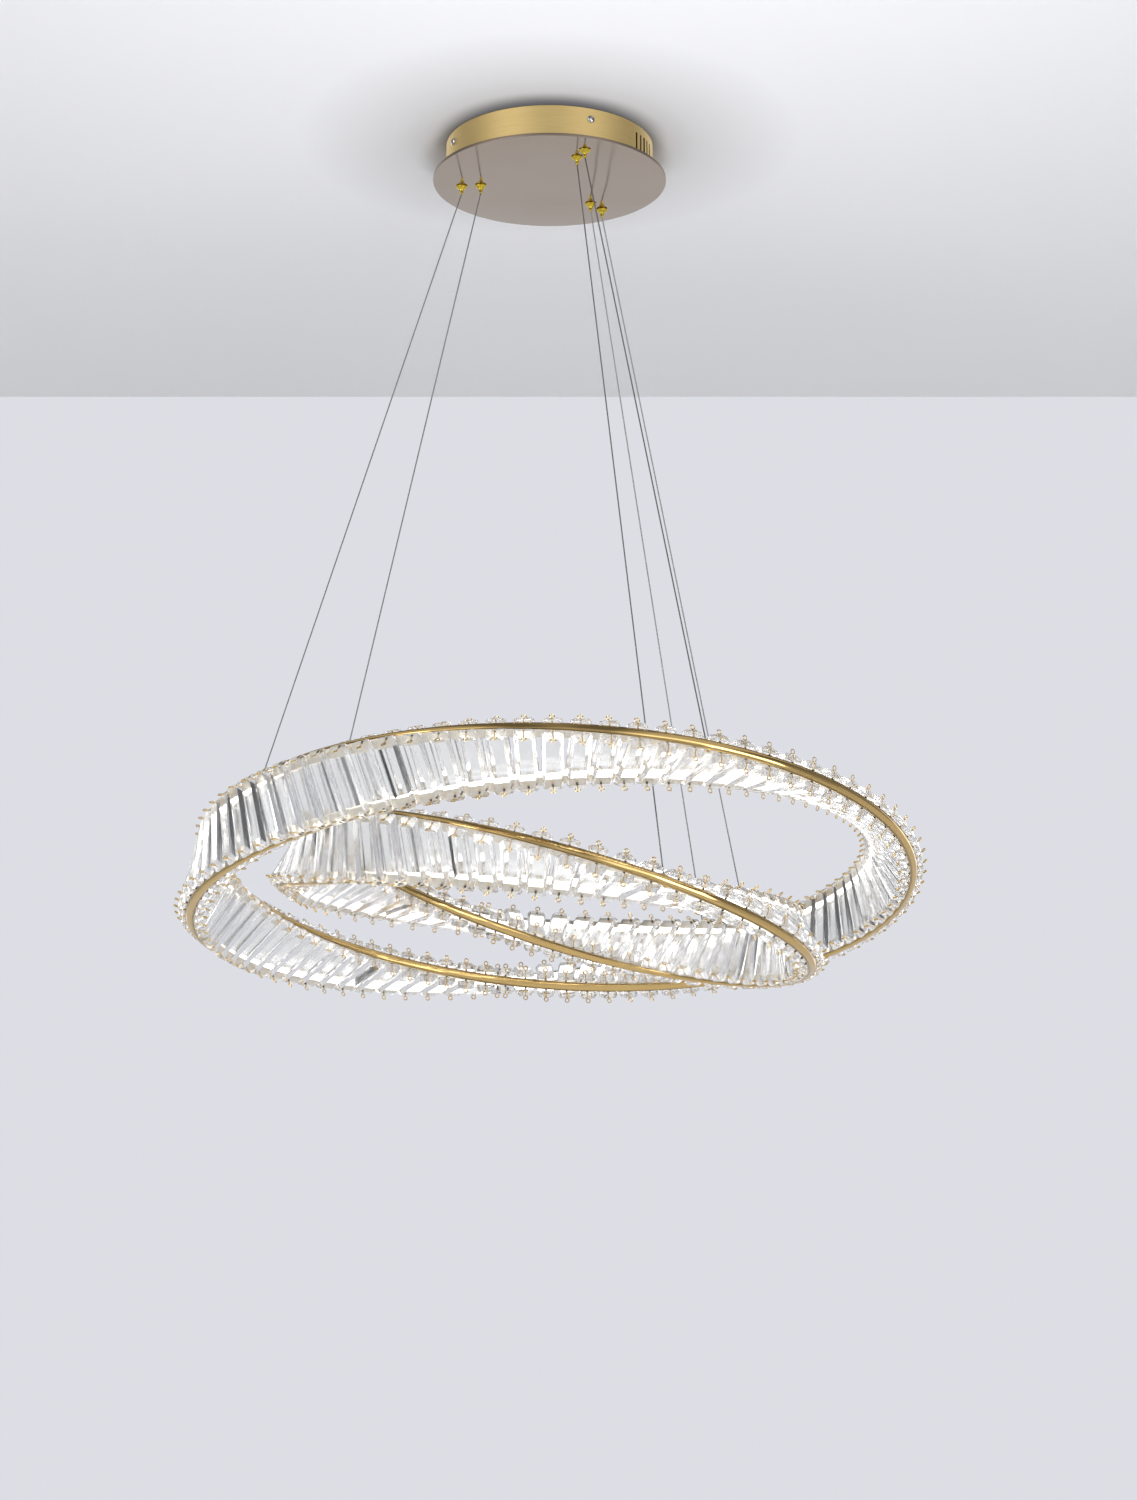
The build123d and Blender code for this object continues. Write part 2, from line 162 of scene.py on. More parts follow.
# Canopy wall.  A strip of thin steel, rolled to a ring, pierced with vents and
# finished in satin gold; four screws hold it to the bracket's ears.
def grid_faces(rows, columns, close_rows=False, close_columns=False):
    """Quads (i, j), (i+1, j), (i+1, j+1), (i, j+1) of a grid, joined up where it closes."""
    i = np.arange(rows if close_rows else rows - 1)
    j = np.arange(columns if close_columns else columns - 1)
    i, j = (part.ravel() for part in np.meshgrid(i, j, indexing="ij"))
    start, start_next = i * columns, (i + 1) % rows * columns
    j_next = (j + 1) % columns
    return np.stack([start + j, start_next + j, start_next + j_next, start + j_next], 1)


def make_piece(name, points, faces, material, slot, body, smooth=40.0):
    """Points (n, 3) and equal-sized faces (m, k) become one mesh that rides on a body."""
    mesh = bpy.data.meshes.new(name)
    points = np.asarray(points, float).reshape(-1, 3)
    faces = np.asarray(faces, int)
    mesh.vertices.add(len(points))
    mesh.vertices.foreach_set("co", points.ravel())
    mesh.loops.add(faces.size)
    mesh.loops.foreach_set("vertex_index", faces.ravel())
    mesh.polygons.add(len(faces))
    mesh.polygons.foreach_set("loop_start", np.arange(len(faces)) * faces.shape[1])
    mesh.update(calc_edges=True)
    mesh.polygons.foreach_set("use_smooth", np.ones(len(faces), bool))
    mesh.set_sharp_from_angle(angle=np.radians(smooth))
    mesh.materials.append(material)
    piece = bpy.data.objects.new(name, mesh)
    bpy.context.scene.collection.objects.link(piece)
    if body:
        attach(piece, body)
    return piece


WALL_R, WALL_T = 0.111, 0.0015
PLATE_TOP, PLATE_BOTTOM = -0.037, -0.040
VENT_W, VENT_H, VENT_PITCH = 0.003, 0.020, 0.0085
VENT_GROUPS = (-18.0, 162.0)
satin_gold, tree, shader = new_material("satin_gold")
set_sockets(shader, Metallic=1.0)
finish_with_mottle(
    tree, shader, 40.0, (1, 1, 26),
    colours=((0.745, 0.555, 0.235), (0.795, 0.605, 0.275)),
    roughness=(0.50, 0.60), bump=(0.10, 0.0002),
)
# The rim faces round each vent and along the wall's top and bottom edges are painted near black: painted
# shade.
rim_shade_mask = tree.nodes.new("ShaderNodeAttribute")
rim_shade_mask.attribute_name = "painted_rim_shade"
rim_shade_tone = tree.nodes.new("ShaderNodeMix")
rim_shade_tone.data_type = "RGBA"
rim_shade_tone.inputs[7].default_value = (0.030, 0.020, 0.008, 1.0)
tree.links.new(rim_shade_mask.outputs["Fac"], rim_shade_tone.inputs[0])
tree.links.new(shader.inputs["Base Color"].links[0].from_socket, rim_shade_tone.inputs[6])
tree.links.new(rim_shade_tone.outputs[2], shader.inputs["Base Color"])


def pierced_wall(columns=720, rows=38):
    """Radius r at angle t and height z: an outer and an inner skin on one (t, z) grid.
    Cells inside a vent are left out, and rims join the two skins there and at both edges."""
    turn = np.arange(columns) * 2 * np.pi / columns
    height = np.linspace(PLATE_TOP, 0.0, rows)
    t, z = np.meshgrid(turn, height, indexing="ij")
    skins = [np.stack([r * np.cos(t), r * np.sin(t), z], -1) for r in (WALL_R, WALL_R - WALL_T)]
    quads = grid_faces(columns, rows, close_rows=True)
    cell_t = np.repeat(turn + np.pi / columns, rows - 1)
    cell_z = np.tile((height[1:] + height[:-1]) / 2, columns)
    open_cell = np.zeros(len(quads), bool)
    step = VENT_PITCH / WALL_R
    for group in np.radians(VENT_GROUPS):
        for index in range(-2, 3):
            away = np.angle(np.exp(1j * (cell_t - group - index * step))) * WALL_R
            in_height = abs(cell_z - PLATE_TOP / 2) < VENT_H / 2
            open_cell |= (abs(away) < VENT_W / 2) & in_height
    shown = quads[~open_cell]
    count = columns * rows
    outer, inner = shown, shown[:, ::-1] + count
    edges = np.concatenate([shown[:, [k, (k + 1) % 4]] for k in range(4)])
    key = edges.min(1) * count + edges.max(1)
    _, first, repeats = np.unique(key, return_index=True, return_counts=True)
    rim = edges[first[repeats == 1]]
    rims = np.stack([rim[:, 1], rim[:, 0], rim[:, 0] + count, rim[:, 1] + count], 1)
    return np.reshape(skins, (-1, 3)), np.concatenate([outer, inner, rims])


wall_points, wall_faces = pierced_wall()
wall = make_piece("canopy_wall_rolled", wall_points, wall_faces, satin_gold, "satin_gold", "canopy")
# Faces that join the two skins are marked for the painted shade on the rims.
on_inner_skin = wall_faces >= len(wall_points) // 2
between_skins = on_inner_skin.any(1) & ~on_inner_skin.all(1)
rim_shade_layer = wall.data.attributes.new("painted_rim_shade", "FLOAT", "FACE")
rim_shade_layer.data.foreach_set("value", between_skins.astype(np.float32))
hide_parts("canopy_wall")


# Side screws.  Four slotted pan heads in bright nickel sit on the wall, and their
# shanks go through it into the bracket's ears.
bright_nickel, tree, shader = new_material("bright_nickel")
set_sockets(shader, Metallic=1.0)
finish_with_mottle(
    tree, shader, 400.0, (1, 1, 1),
    colours=((0.46, 0.45, 0.43), (0.60, 0.59, 0.57)),
    roughness=(0.08, 0.18), bump=(0.05, 0.0001),
)


SCREW_AZIMUTHS = (-60.0, 30.0, 120.0, 210.0)
SCREW_Z = -0.012
MILLIMETRE = 0.001


def pan_heads():
    """In mm: chords y = s sqrt(4^2 - x^2) across each head, which is 2.4 - 1.5 ((x^2 + y^2) / 16)^1.5
    high, 1 mm less in the slot |x| < 0.5, and 0 round the seat."""
    half = np.array([0.5, 0.55, 1.3, 2.1, 2.8, 3.4, 3.8, 4])
    across = np.concatenate([-half[::-1], half])
    share = np.array([-1, -1, -0.93, -0.8, -0.6, -0.3, 0, 0.3, 0.6, 0.8, 0.93, 1, 1])
    x, chord = np.meshgrid(across, share, indexing="ij")
    y = chord * np.sqrt(np.maximum(16 - x**2, 0))
    height = 2.4 - 1.5 * ((x**2 + y**2) / 16) ** 1.5 - (abs(x) <= 0.5)
    height[:, [0, -1]] = 0
    height[[0, -1]] = 0
    points = []
    for number, azimuth in enumerate(np.radians(SCREW_AZIMUTHS)):
        out = np.array([np.cos(azimuth), np.sin(azimuth), 0])
        turn = np.radians(35.0 + 50.0 * number)
        around = np.array([-np.sin(azimuth), np.cos(azimuth), 0])
        level = x * np.cos(turn) - y * np.sin(turn)
        upward = x * np.sin(turn) + y * np.cos(turn)
        head = np.multiply.outer(height, out) + np.multiply.outer(level, around)
        head = head + np.multiply.outer(upward, [0, 0, 1])
        points.append(MILLIMETRE * head + WALL_R * out + [0, 0, SCREW_Z])
    template = grid_faces(*x.shape)
    faces = template[None] + x.size * np.arange(len(points))[:, None, None]
    return np.reshape(points, (-1, 3)), faces.reshape(-1, 4)


heads = make_piece("side_screw_heads", *pan_heads(), bright_nickel, "zinc_steel", "canopy", 35.0)
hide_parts("side_screws")


# Mirror plate.  A 3 mm steel disc, polished and plated in champagne gold, which
# closes the canopy from below; its three studs are welded on inside.
def lathe(profile, columns, centre=(0.0, 0.0)):
    """Profile rows (r, z) turned about a vertical axis: (r cos t, r sin t, z)."""
    r, z = np.asarray(profile, float).T
    turn = np.arange(columns) * 2 * np.pi / columns
    x = centre[0] + np.outer(np.cos(turn), r)
    y = centre[1] + np.outer(np.sin(turn), r)
    points = np.stack([x, y, np.tile(z, (columns, 1))], -1)
    return points.reshape(-1, 3), grid_faces(columns, len(r), close_rows=True)


def rounded(corners, radius, segments=3, closed=False):
    """Each corner of an outline becomes a quadratic curve from radius before it to radius after."""
    p = np.asarray(corners, float)
    before, after = np.roll(p, 1, 0), np.roll(p, -1, 0)

    def reach(other):
        span = other - p
        length = np.linalg.norm(span, axis=1, keepdims=True)
        return p + span / length * np.minimum(radius, length / 3)

    s = np.linspace(0, 1, segments + 1)[None, :, None]
    a, b, c = reach(before)[:, None], p[:, None], reach(after)[:, None]
    curve = (1 - s) ** 2 * a + 2 * s * (1 - s) * b + s**2 * c
    if not closed:
        return np.concatenate([p[:1], curve[1:-1].reshape(-1, 2), p[-1:]])
    return curve.reshape(-1, 2)


PLATE_R = 0.125
champagne, tree, shader = new_material("champagne_mirror")
set_sockets(shader, Metallic=1.0)
finish_with_mottle(
    tree, shader, 14.0, (1, 1, 1),
    colours=((0.49, 0.410, 0.340), (0.52, 0.438, 0.367)),
    roughness=(0.09, 0.13), bump=(0.004, 0.0002),
)
champagne_tone, champagne_rough = (
    shader.inputs[name].links[0].from_socket for name in ("Base Color", "Roughness")
)
# The outer 0.4 mm of the disc, round its rim, is painted a dark brown and made rougher: painted shade
# along the edge in place of its glints.
rim_place = tree.nodes.new("ShaderNodeTexCoord")
rim_flat = tree.nodes.new("ShaderNodeVectorMath")
rim_flat.operation = "MULTIPLY"
rim_flat.inputs[1].default_value = (1, 1, 0)
rim_reach = tree.nodes.new("ShaderNodeVectorMath")
rim_reach.operation = "LENGTH"
plate_edge_shade_mask = tree.nodes.new("ShaderNodeMapRange")
plate_edge_shade_mask.inputs["From Min"].default_value = PLATE_R - 0.0004
plate_edge_shade_mask.inputs["From Max"].default_value = PLATE_R - 0.0002
plate_edge_painted_shade = tree.nodes.new("ShaderNodeMix")
plate_edge_painted_shade.data_type = "RGBA"
plate_edge_painted_shade.inputs[7].default_value = (0.30, 0.24, 0.19, 1.0)
rim_rough = tree.nodes.new("ShaderNodeMix")
rim_rough.inputs[3].default_value = 0.5
tree.links.new(rim_place.outputs["Object"], rim_flat.inputs[0])
tree.links.new(rim_flat.outputs[0], rim_reach.inputs[0])
tree.links.new(rim_reach.outputs["Value"], plate_edge_shade_mask.inputs["Value"])
tree.links.new(plate_edge_shade_mask.outputs["Result"], plate_edge_painted_shade.inputs[0])
tree.links.new(plate_edge_shade_mask.outputs["Result"], rim_rough.inputs[0])
tree.links.new(champagne_tone, plate_edge_painted_shade.inputs[6])
tree.links.new(champagne_rough, rim_rough.inputs[2])
tree.links.new(plate_edge_painted_shade.outputs[2], shader.inputs["Base Color"])
tree.links.new(rim_rough.outputs[0], shader.inputs["Roughness"])
edge = [(0.0, PLATE_BOTTOM), (0.060, PLATE_BOTTOM), (PLATE_R, PLATE_BOTTOM)]
edge += [(PLATE_R, PLATE_TOP), (0.0, PLATE_TOP)]
plate = make_piece(
    "mirror_plate", *lathe(rounded(edge, 0.0003), 256), champagne, "mirror_champagne", "canopy"
)
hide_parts("canopy_plate")


# Wire grippers and release sleeves.  Turned brass bodies, polished and gold plated,
# with a trumpet flange against the plate; a sprung sleeve comes out of each one.
RINGS = {
    "big": dict(radius=0.352, crystals=90, drop=0.8015, tilt_x=-7.5, tilt_y=-3.0, grip_radius=0.0955),
    "small": dict(radius=0.258, crystals=66, drop=0.827, tilt_x=1.9, tilt_y=9.8, grip_radius=0.0747),
}
WIRE_AZIMUTHS = {"left": 180.0, "front": 300.0, "back": 60.0}
bright_gold, tree, shader = new_material("bright_gold")
set_sockets(shader, Metallic=1.0)
finish_with_mottle(
    tree, shader, 220.0, (1, 1, 1),
    colours=((0.56, 0.41, 0.035), (0.68, 0.52, 0.07)),
    roughness=(0.03, 0.08), bump=(0.03, 0.0001),
)
gripper_depths = [(1.8, 3.5), (1.8, 5.5), (2.2, 5.5), (2.4, 4.3), (3.0, 3.9)]
gripper_depths += [(4.2, 2.6), (5.2, 1.6), (6.25, 1.1), (6.25, 0.9), (5.4, 0.0)]
sleeve_depths = [(1.0, 2.5), (1.0, 9.0), (1.5, 9.0), (1.7, 8.3), (1.5, 7.9), (1.5, 2.5)]


def below_plate(depths):
    """Rows (radius, depth under the plate) in mm become a profile (r, z) in metres."""
    return [(MILLIMETRE * r, PLATE_BOTTOM - MILLIMETRE * depth) for r, depth in depths]


def grip_place(ring, azimuth):
    """Where a ring's gripper stands on the plate: (x, y) on that ring's gripper circle."""
    a = np.radians(azimuth)
    return ring["grip_radius"] * np.cos(a), ring["grip_radius"] * np.sin(a)


for ring_name, ring in RINGS.items():
    for position, azimuth in WIRE_AZIMUTHS.items():
        middle = grip_place(ring, azimuth)
        name = f"{ring_name}_{position}"
        grip = make_piece(
            f"{name}_gripper_turned", *lathe(rounded(below_plate(gripper_depths), 0.0005), 48, middle),
            bright_gold, "polished_gold", "canopy",
        )
        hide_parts(f"{name}_gripper")
        sleeve = make_piece(
            f"{name}_sleeve_turned", *lathe(rounded(below_plate(sleeve_depths), 0.0004), 40, middle),
            bright_gold, "polished_gold", f"{name}_release",
        )
        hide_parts(f"{name}_sleeve")


# Ribbon lines.  Each ring is a ribbon that makes one full twist on its way round,
# and everything on it is placed by the ribbon's own across, face and along directions.
TWIST_PHASE = -56.6
JUNCTION = 60.0


def turned(ring):
    """Ring axes in the room: turned about X, then about Y."""
    a, b = np.radians(ring["tilt_x"]), np.radians(ring["tilt_y"])
    about_x = np.array([[1, 0, 0], [0, np.cos(a), -np.sin(a)], [0, np.sin(a), np.cos(a)]])
    about_y = np.array([[np.cos(b), 0, np.sin(b)], [0, 1, 0], [-np.sin(b), 0, np.cos(b)]])
    return about_y @ about_x


def ribbon(ring, angle):
    """At each angle: core point, and unit vectors across the ribbon, out of its face and along it.
    The ribbon leans by phase minus angle, so it turns over once on the way round."""
    t, lean = np.radians(angle), np.radians(TWIST_PHASE - np.asarray(angle))
    zero = np.zeros_like(t)
    out = np.stack([np.cos(t), np.sin(t), zero], -1)
    up = np.array([0.0, 0.0, 1.0])
    across = out * np.cos(lean)[..., None] + up * np.sin(lean)[..., None]
    along = np.stack([-np.sin(t), np.cos(t), zero], -1)
    face = np.cross(along, across)
    turn = turned(ring).T
    core = out * ring["radius"] @ turn + np.array([0.0, 0.0, -ring["drop"]])
    return core, across @ turn, face @ turn, along @ turn


def carried(ring, outline, steps):
    """Outline (x across, y out of the face) carried round the ring: core + x across + y face."""
    core, across, face, _ = ribbon(ring, JUNCTION + np.arange(steps) * 360.0 / steps)
    x, y = np.asarray(outline, float).T
    points = core[:, None] + x[None, :, None] * across[:, None] + y[None, :, None] * face[:, None]
    return points, grid_faces(steps, len(x), close_rows=True, close_columns=True)


def add_strip_map(piece, rows, columns):
    """UV of a closed grid: u runs once along the ring, v once round the outline."""
    layer = piece.data.uv_layers.new(name="strip")
    i, j = (part.ravel() for part in np.meshgrid(np.arange(rows), np.arange(columns), indexing="ij"))
    u = np.stack([i, i + 1, i + 1, i], 1) / rows
    v = np.stack([j, j, j + 1, j + 1], 1) / columns
    layer.data.foreach_set("uv", np.stack([u, v], -1).astype(np.float32).ravel())


# Suspension wires.  Thin stranded steel, taut between a gripper and a barrel in a rail.
# A tube has points at its two ends only, so it stays straight while its ring moves, and
# a short tail of each wire goes on up inside its sleeve.
REACH = 0.037
ANCHOR_RAILS = {"left": 1, "front": 1, "back": -1}
wire_steel, tree, shader = new_material("stranded_wire")
set_sockets(shader, Metallic=1.0)
strand_map = tree.nodes.new("ShaderNodeUVMap")
strand_map.uv_map = "strand"
strands = tree.nodes.new("ShaderNodeTexWave")
strands.wave_type = "BANDS"
strands.bands_direction = "DIAGONAL"
strands.inputs["Scale"].default_value = 3.0
strand_tone = tree.nodes.new("ShaderNodeMix")
strand_tone.data_type = "RGBA"
strand_tone.inputs[6].default_value = (0.20, 0.20, 0.20, 1.0)
strand_tone.inputs[7].default_value = (0.34, 0.34, 0.33, 1.0)
strand_rough = tree.nodes.new("ShaderNodeMapRange")
strand_rough.inputs["To Min"].default_value = 0.60
strand_rough.inputs["To Max"].default_value = 0.45
tree.links.new(strand_map.outputs["UV"], strands.inputs["Vector"])
tree.links.new(strands.outputs["Fac"], strand_tone.inputs[0])
tree.links.new(strands.outputs["Fac"], strand_rough.inputs["Value"])
tree.links.new(strand_tone.outputs[2], shader.inputs["Base Color"])
tree.links.new(strand_rough.outputs["Result"], shader.inputs["Roughness"])


def spline_points(name, route):
    """Points along the order-3 NURBS spline that a route's control points make."""
    curve = bpy.data.curves.new(name, "CURVE")
    curve.dimensions = "3D"
    spline = curve.splines.new("NURBS")
    spline.points.add(len(route) - 1)
    spline.points.foreach_set("co", np.column_stack([route, np.ones(len(route))]).ravel())
    spline.order_u = 3
    spline.use_endpoint_u = True
    spline.resolution_u = 24
    holder = bpy.data.objects.new(name, curve)
    mesh = bpy.data.meshes.new_from_object(holder)
    points = np.zeros(len(mesh.vertices) * 3)
    mesh.vertices.foreach_get("co", points)
    bpy.data.objects.remove(holder)
    bpy.data.curves.remove(curve)
    bpy.data.meshes.remove(mesh)
    return points.reshape(-1, 3)


WIRE_D = 0.0014
WIRE_SIDES = 8
WIRE_TOP = -0.049
STRAND_LAY = 0.004
TAIL_L = 0.006
BARREL_INSET = 0.0055
BARREL_TO_WIRE = 0.0083


def add_strand_map(piece, lay_turns, tubes=1):
    """UV of tubes with two rings: u counts the lay's turns, v goes once round."""
    layer = piece.data.uv_layers.new(name="strand")
    u = np.tile([0.0, lay_turns, lay_turns, 0.0], (WIRE_SIDES * tubes, 1))
    v = np.tile((np.arange(WIRE_SIDES)[:, None] + [1, 1, 0, 0]) / WIRE_SIDES, (tubes, 1))
    layer.data.foreach_set("uv", np.stack([u, v], -1).astype(np.float32).ravel())


tube_faces = grid_faces(2, WIRE_SIDES, close_columns=True)[:, ::-1]
turn = np.arange(WIRE_SIDES) * 2 * np.pi / WIRE_SIDES
tails = []
for ring_name, ring in RINGS.items():
    for position, azimuth in WIRE_AZIMUTHS.items():
        name = f"{ring_name}_{position}_wire"
        top = np.array([*grip_place(ring, azimuth), WIRE_TOP])
        core, across, _, _ = ribbon(ring, azimuth)
        held = core + across * ANCHOR_RAILS[position] * (REACH - BARREL_INSET)
        down = (held - top) / np.linalg.norm(held - top)
        low = held - down * BARREL_TO_WIRE
        straight = down * 6 * WIRE_D
        path = spline_points(name, np.array([top, top + straight, low - straight, low]))
        side = np.cross(down, [0.0, 1.0, 0.0])
        side /= np.linalg.norm(side)
        spoke = np.outer(np.cos(turn), side) + np.outer(np.sin(turn), np.cross(down, side))
        tube = path[[0, -1], None] + spoke[None] * WIRE_D / 2
        piece = make_piece(f"{name}_strand", tube, tube_faces, wire_steel, "wire_steel", None)
        add_strand_map(piece, np.linalg.norm(path[-1] - path[0]) / STRAND_LAY)
        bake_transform(piece)
        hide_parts(name)
        level_spoke = np.stack([np.cos(turn), np.sin(turn), 0 * turn], -1) * WIRE_D / 2
        tails.append([top + level_spoke, top + level_spoke + [0, 0, TAIL_L]])
tail_faces = tube_faces[None] + 2 * WIRE_SIDES * np.arange(len(tails))[:, None, None]
wire_tails = make_piece(
    "wire_tails", tails, tail_faces.reshape(-1, 4), wire_steel, "wire_steel", "canopy"
)
add_strand_map(wire_tails, TAIL_L / STRAND_LAY, len(tails))


# Rails.  Two brass channels per ring, polished and plated gold, with a crowned back; they
# are rolled and twisted together, and their mouths face each other.  Dark struts hold them
# apart, and gold barrels in them take the wires' ends.
def fill_ramp(ramp, stops, tint):
    """A colour ramp's stops (position, level), each level in the same tint."""
    elements = ramp.color_ramp.elements
    while len(elements) < len(stops):
        elements.new(0.5)
    for element, (position, level) in zip(elements, stops):
        element.position = position
        element.color = (*(level * part for part in tint), 1.0)


rail_gold, tree, shader = new_material("rail_gold")
set_sockets(shader, Metallic=1.0)
strip_map = tree.nodes.new("ShaderNodeUVMap")
strip_map.uv_map = "strip"
streak_scale = tree.nodes.new("ShaderNodeMapping")
streak_scale.inputs["Scale"].default_value = (40.0, 60.0, 1.0)
streaks = tree.nodes.new("ShaderNodeTexNoise")
streaks.inputs["Scale"].default_value = 6.0
streaks.inputs["Detail"].default_value = 3.0
streak_tone = tree.nodes.new("ShaderNodeMix")
streak_tone.data_type = "RGBA"
streak_tone.inputs[6].default_value = (0.72, 0.485, 0.175, 1.0)
streak_tone.inputs[7].default_value = (0.81, 0.575, 0.25, 1.0)
streak_rough = tree.nodes.new("ShaderNodeMapRange")
streak_rough.inputs["To Min"].default_value = 0.05
streak_rough.inputs["To Max"].default_value = 0.13
step_place = tree.nodes.new("ShaderNodeSeparateXYZ")
# Bands on the steps and shoulders either side of the crowned back are darkened to 0.42-0.50: painted
# shade, which gives the back dark edge lines.
step_painted_shade = tree.nodes.new("ShaderNodeValToRGB")
step_painted_shade_stops = [(0.19, 1.0), (0.21, 0.42), (0.32, 0.50), (0.40, 1.0)]
step_painted_shade_stops += [(0.586, 1.0), (0.666, 0.50), (0.776, 0.42), (0.796, 1.0)]
fill_ramp(step_painted_shade, step_painted_shade_stops, (1.0, 1.0, 1.0))
# The channel's inside, its lips and its flanges are painted a pale champagne: painted light from the light
# strips, seen through the crystals. They are also made rougher.
BACK_V = 0.493
FLANGE_FROM_BACK = 0.300
from_back = tree.nodes.new("ShaderNodeMath")
from_back.operation = "SUBTRACT"
from_back.inputs[1].default_value = BACK_V
either_way = tree.nodes.new("ShaderNodeMath")
either_way.operation = "ABSOLUTE"
flange_painted_light_mask = tree.nodes.new("ShaderNodeMapRange")
flange_painted_light_mask.inputs["From Min"].default_value = FLANGE_FROM_BACK
flange_painted_light_mask.inputs["From Max"].default_value = FLANGE_FROM_BACK + 0.006
flange_painted_light = tree.nodes.new("ShaderNodeMix")
flange_painted_light.data_type = "RGBA"
flange_painted_light.inputs[7].default_value = (0.92, 0.86, 0.74, 1.0)
flange_rough = tree.nodes.new("ShaderNodeMix")
flange_rough.inputs[3].default_value = 0.35
tree.links.new(step_place.outputs["Y"], from_back.inputs[0])
tree.links.new(from_back.outputs["Value"], either_way.inputs[0])
tree.links.new(either_way.outputs["Value"], flange_painted_light_mask.inputs["Value"])
tree.links.new(flange_painted_light_mask.outputs["Result"], flange_painted_light.inputs[0])
tree.links.new(flange_painted_light_mask.outputs["Result"], flange_rough.inputs[0])
tree.links.new(streak_tone.outputs[2], flange_painted_light.inputs[6])
tree.links.new(streak_rough.outputs["Result"], flange_rough.inputs[2])
# The rail's colour: streaked gold with the painted light on the flanges, times the painted shade on the
# steps.
rail_painted_light_and_shade = tree.nodes.new("ShaderNodeMix")
rail_painted_light_and_shade.data_type = "RGBA"
rail_painted_light_and_shade.blend_type = "MULTIPLY"
rail_painted_light_and_shade.inputs[0].default_value = 1.0
tree.links.new(strip_map.outputs["UV"], step_place.inputs[0])
tree.links.new(step_place.outputs["Y"], step_painted_shade.inputs["Fac"])
tree.links.new(flange_painted_light.outputs[2], rail_painted_light_and_shade.inputs[6])
tree.links.new(step_painted_shade.outputs["Color"], rail_painted_light_and_shade.inputs[7])
tree.links.new(strip_map.outputs["UV"], streak_scale.inputs["Vector"])
tree.links.new(streak_scale.outputs["Vector"], streaks.inputs["Vector"])
tree.links.new(streaks.outputs["Fac"], streak_tone.inputs[0])
tree.links.new(streaks.outputs["Fac"], streak_rough.inputs["Value"])
tree.links.new(rail_painted_light_and_shade.outputs[2], shader.inputs["Base Color"])
tree.links.new(flange_rough.outputs[0], shader.inputs["Roughness"])
RAIL_HALF_W = 0.005
RAIL_STEPS = 360
half_rail = [(0.0345, 0.0038), (0.025, 0.0038), (0.025, RAIL_HALF_W), (0.0350, RAIL_HALF_W)]
half_rail += [(0.0353, 0.0044), (0.0353, 0.0040), (0.0361, 0.0034), (0.0367, 0.0022), (REACH, 0.0008)]
rail_outline = half_rail + [(x, -y) for x, y in reversed(half_rail)]
for ring_name, ring in RINGS.items():
    for side, letter in ((1, "a"), (-1, "b")):
        outline = rounded([(side * x, y) for x, y in rail_outline][::side], 0.0003, closed=True)
        rail = make_piece(
            f"{ring_name}_rail_{letter}_rolled", *carried(ring, outline, RAIL_STEPS),
            rail_gold, "polished_gold", f"{ring_name}_ring", 25.0,
        )
        add_strip_map(rail, RAIL_STEPS, len(outline))
        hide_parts(f"{ring_name}_rail_{letter}")
pin_gold, tree, shader = new_material("pin_gold")
set_sockets(shader, Metallic=1.0)
finish_with_mottle(
    tree, shader, 500.0, (1, 1, 1),
    colours=((0.66, 0.44, 0.13), (0.78, 0.55, 0.20)),
    roughness=(0.08, 0.18), bump=(0.03, 0.0001),
)
dress(pin_gold, "big_wire_anchors", "small_wire_anchors")
black_nickel, tree, shader = new_material("black_nickel")
set_sockets(shader, Metallic=1.0)
finish_with_mottle(
    tree, shader, 90.0, (1, 1, 1),
    colours=((0.030, 0.030, 0.032), (0.060, 0.058, 0.056)),
    roughness=(0.25, 0.40), bump=(0.05, 0.0002),
)
dress(black_nickel, "big_struts", "small_struts")


# Light strips.  A row of small white emitters under an opal diffuser lies on the floor
# of each channel and shines across the ribbon.
opal_light, tree, shader = new_material("opal_light")
set_sockets(shader, Base_Color=(0.9, 0.9, 0.9, 1.0), Roughness=0.5, Emission_Strength=4.2)
lamp_map = tree.nodes.new("ShaderNodeUVMap")
lamp_map.uv_map = "strip"
lamp_row = tree.nodes.new("ShaderNodeTexWave")
lamp_row.inputs["Scale"].default_value = 45.0
lamp_tone = tree.nodes.new("ShaderNodeMix")
lamp_tone.data_type = "RGBA"
lamp_tone.inputs[6].default_value = (0.82, 0.85, 0.90, 1.0)
lamp_tone.inputs[7].default_value = (1.0, 1.0, 1.0, 1.0)
tree.links.new(lamp_map.outputs["UV"], lamp_row.inputs["Vector"])
tree.links.new(lamp_row.outputs["Fac"], lamp_tone.inputs[0])
tree.links.new(lamp_tone.outputs[2], shader.inputs["Emission Color"])
STRIP_STEPS = 240
STRIP_HALF_W = 0.0035
STRIP_INSIDE, STRIP_OUTSIDE = 0.0263, 0.0343
strip_corners = [(STRIP_OUTSIDE, STRIP_HALF_W), (STRIP_INSIDE, STRIP_HALF_W)]
strip_corners += [(STRIP_INSIDE, -STRIP_HALF_W), (STRIP_OUTSIDE, -STRIP_HALF_W)]
for ring_name, ring in RINGS.items():
    for side, letter in ((1, "a"), (-1, "b")):
        outline = rounded([(side * x, y) for x, y in strip_corners][::-side], 0.0015, closed=True)
        strip = make_piece(
            f"{ring_name}_light_strip_{letter}_opal", *carried(ring, outline, STRIP_STEPS),
            opal_light, "diffuser", f"{ring_name}_ring",
        )
        add_strip_map(strip, STRIP_STEPS, len(outline))
        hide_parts(f"{ring_name}_light_strip_{letter}")


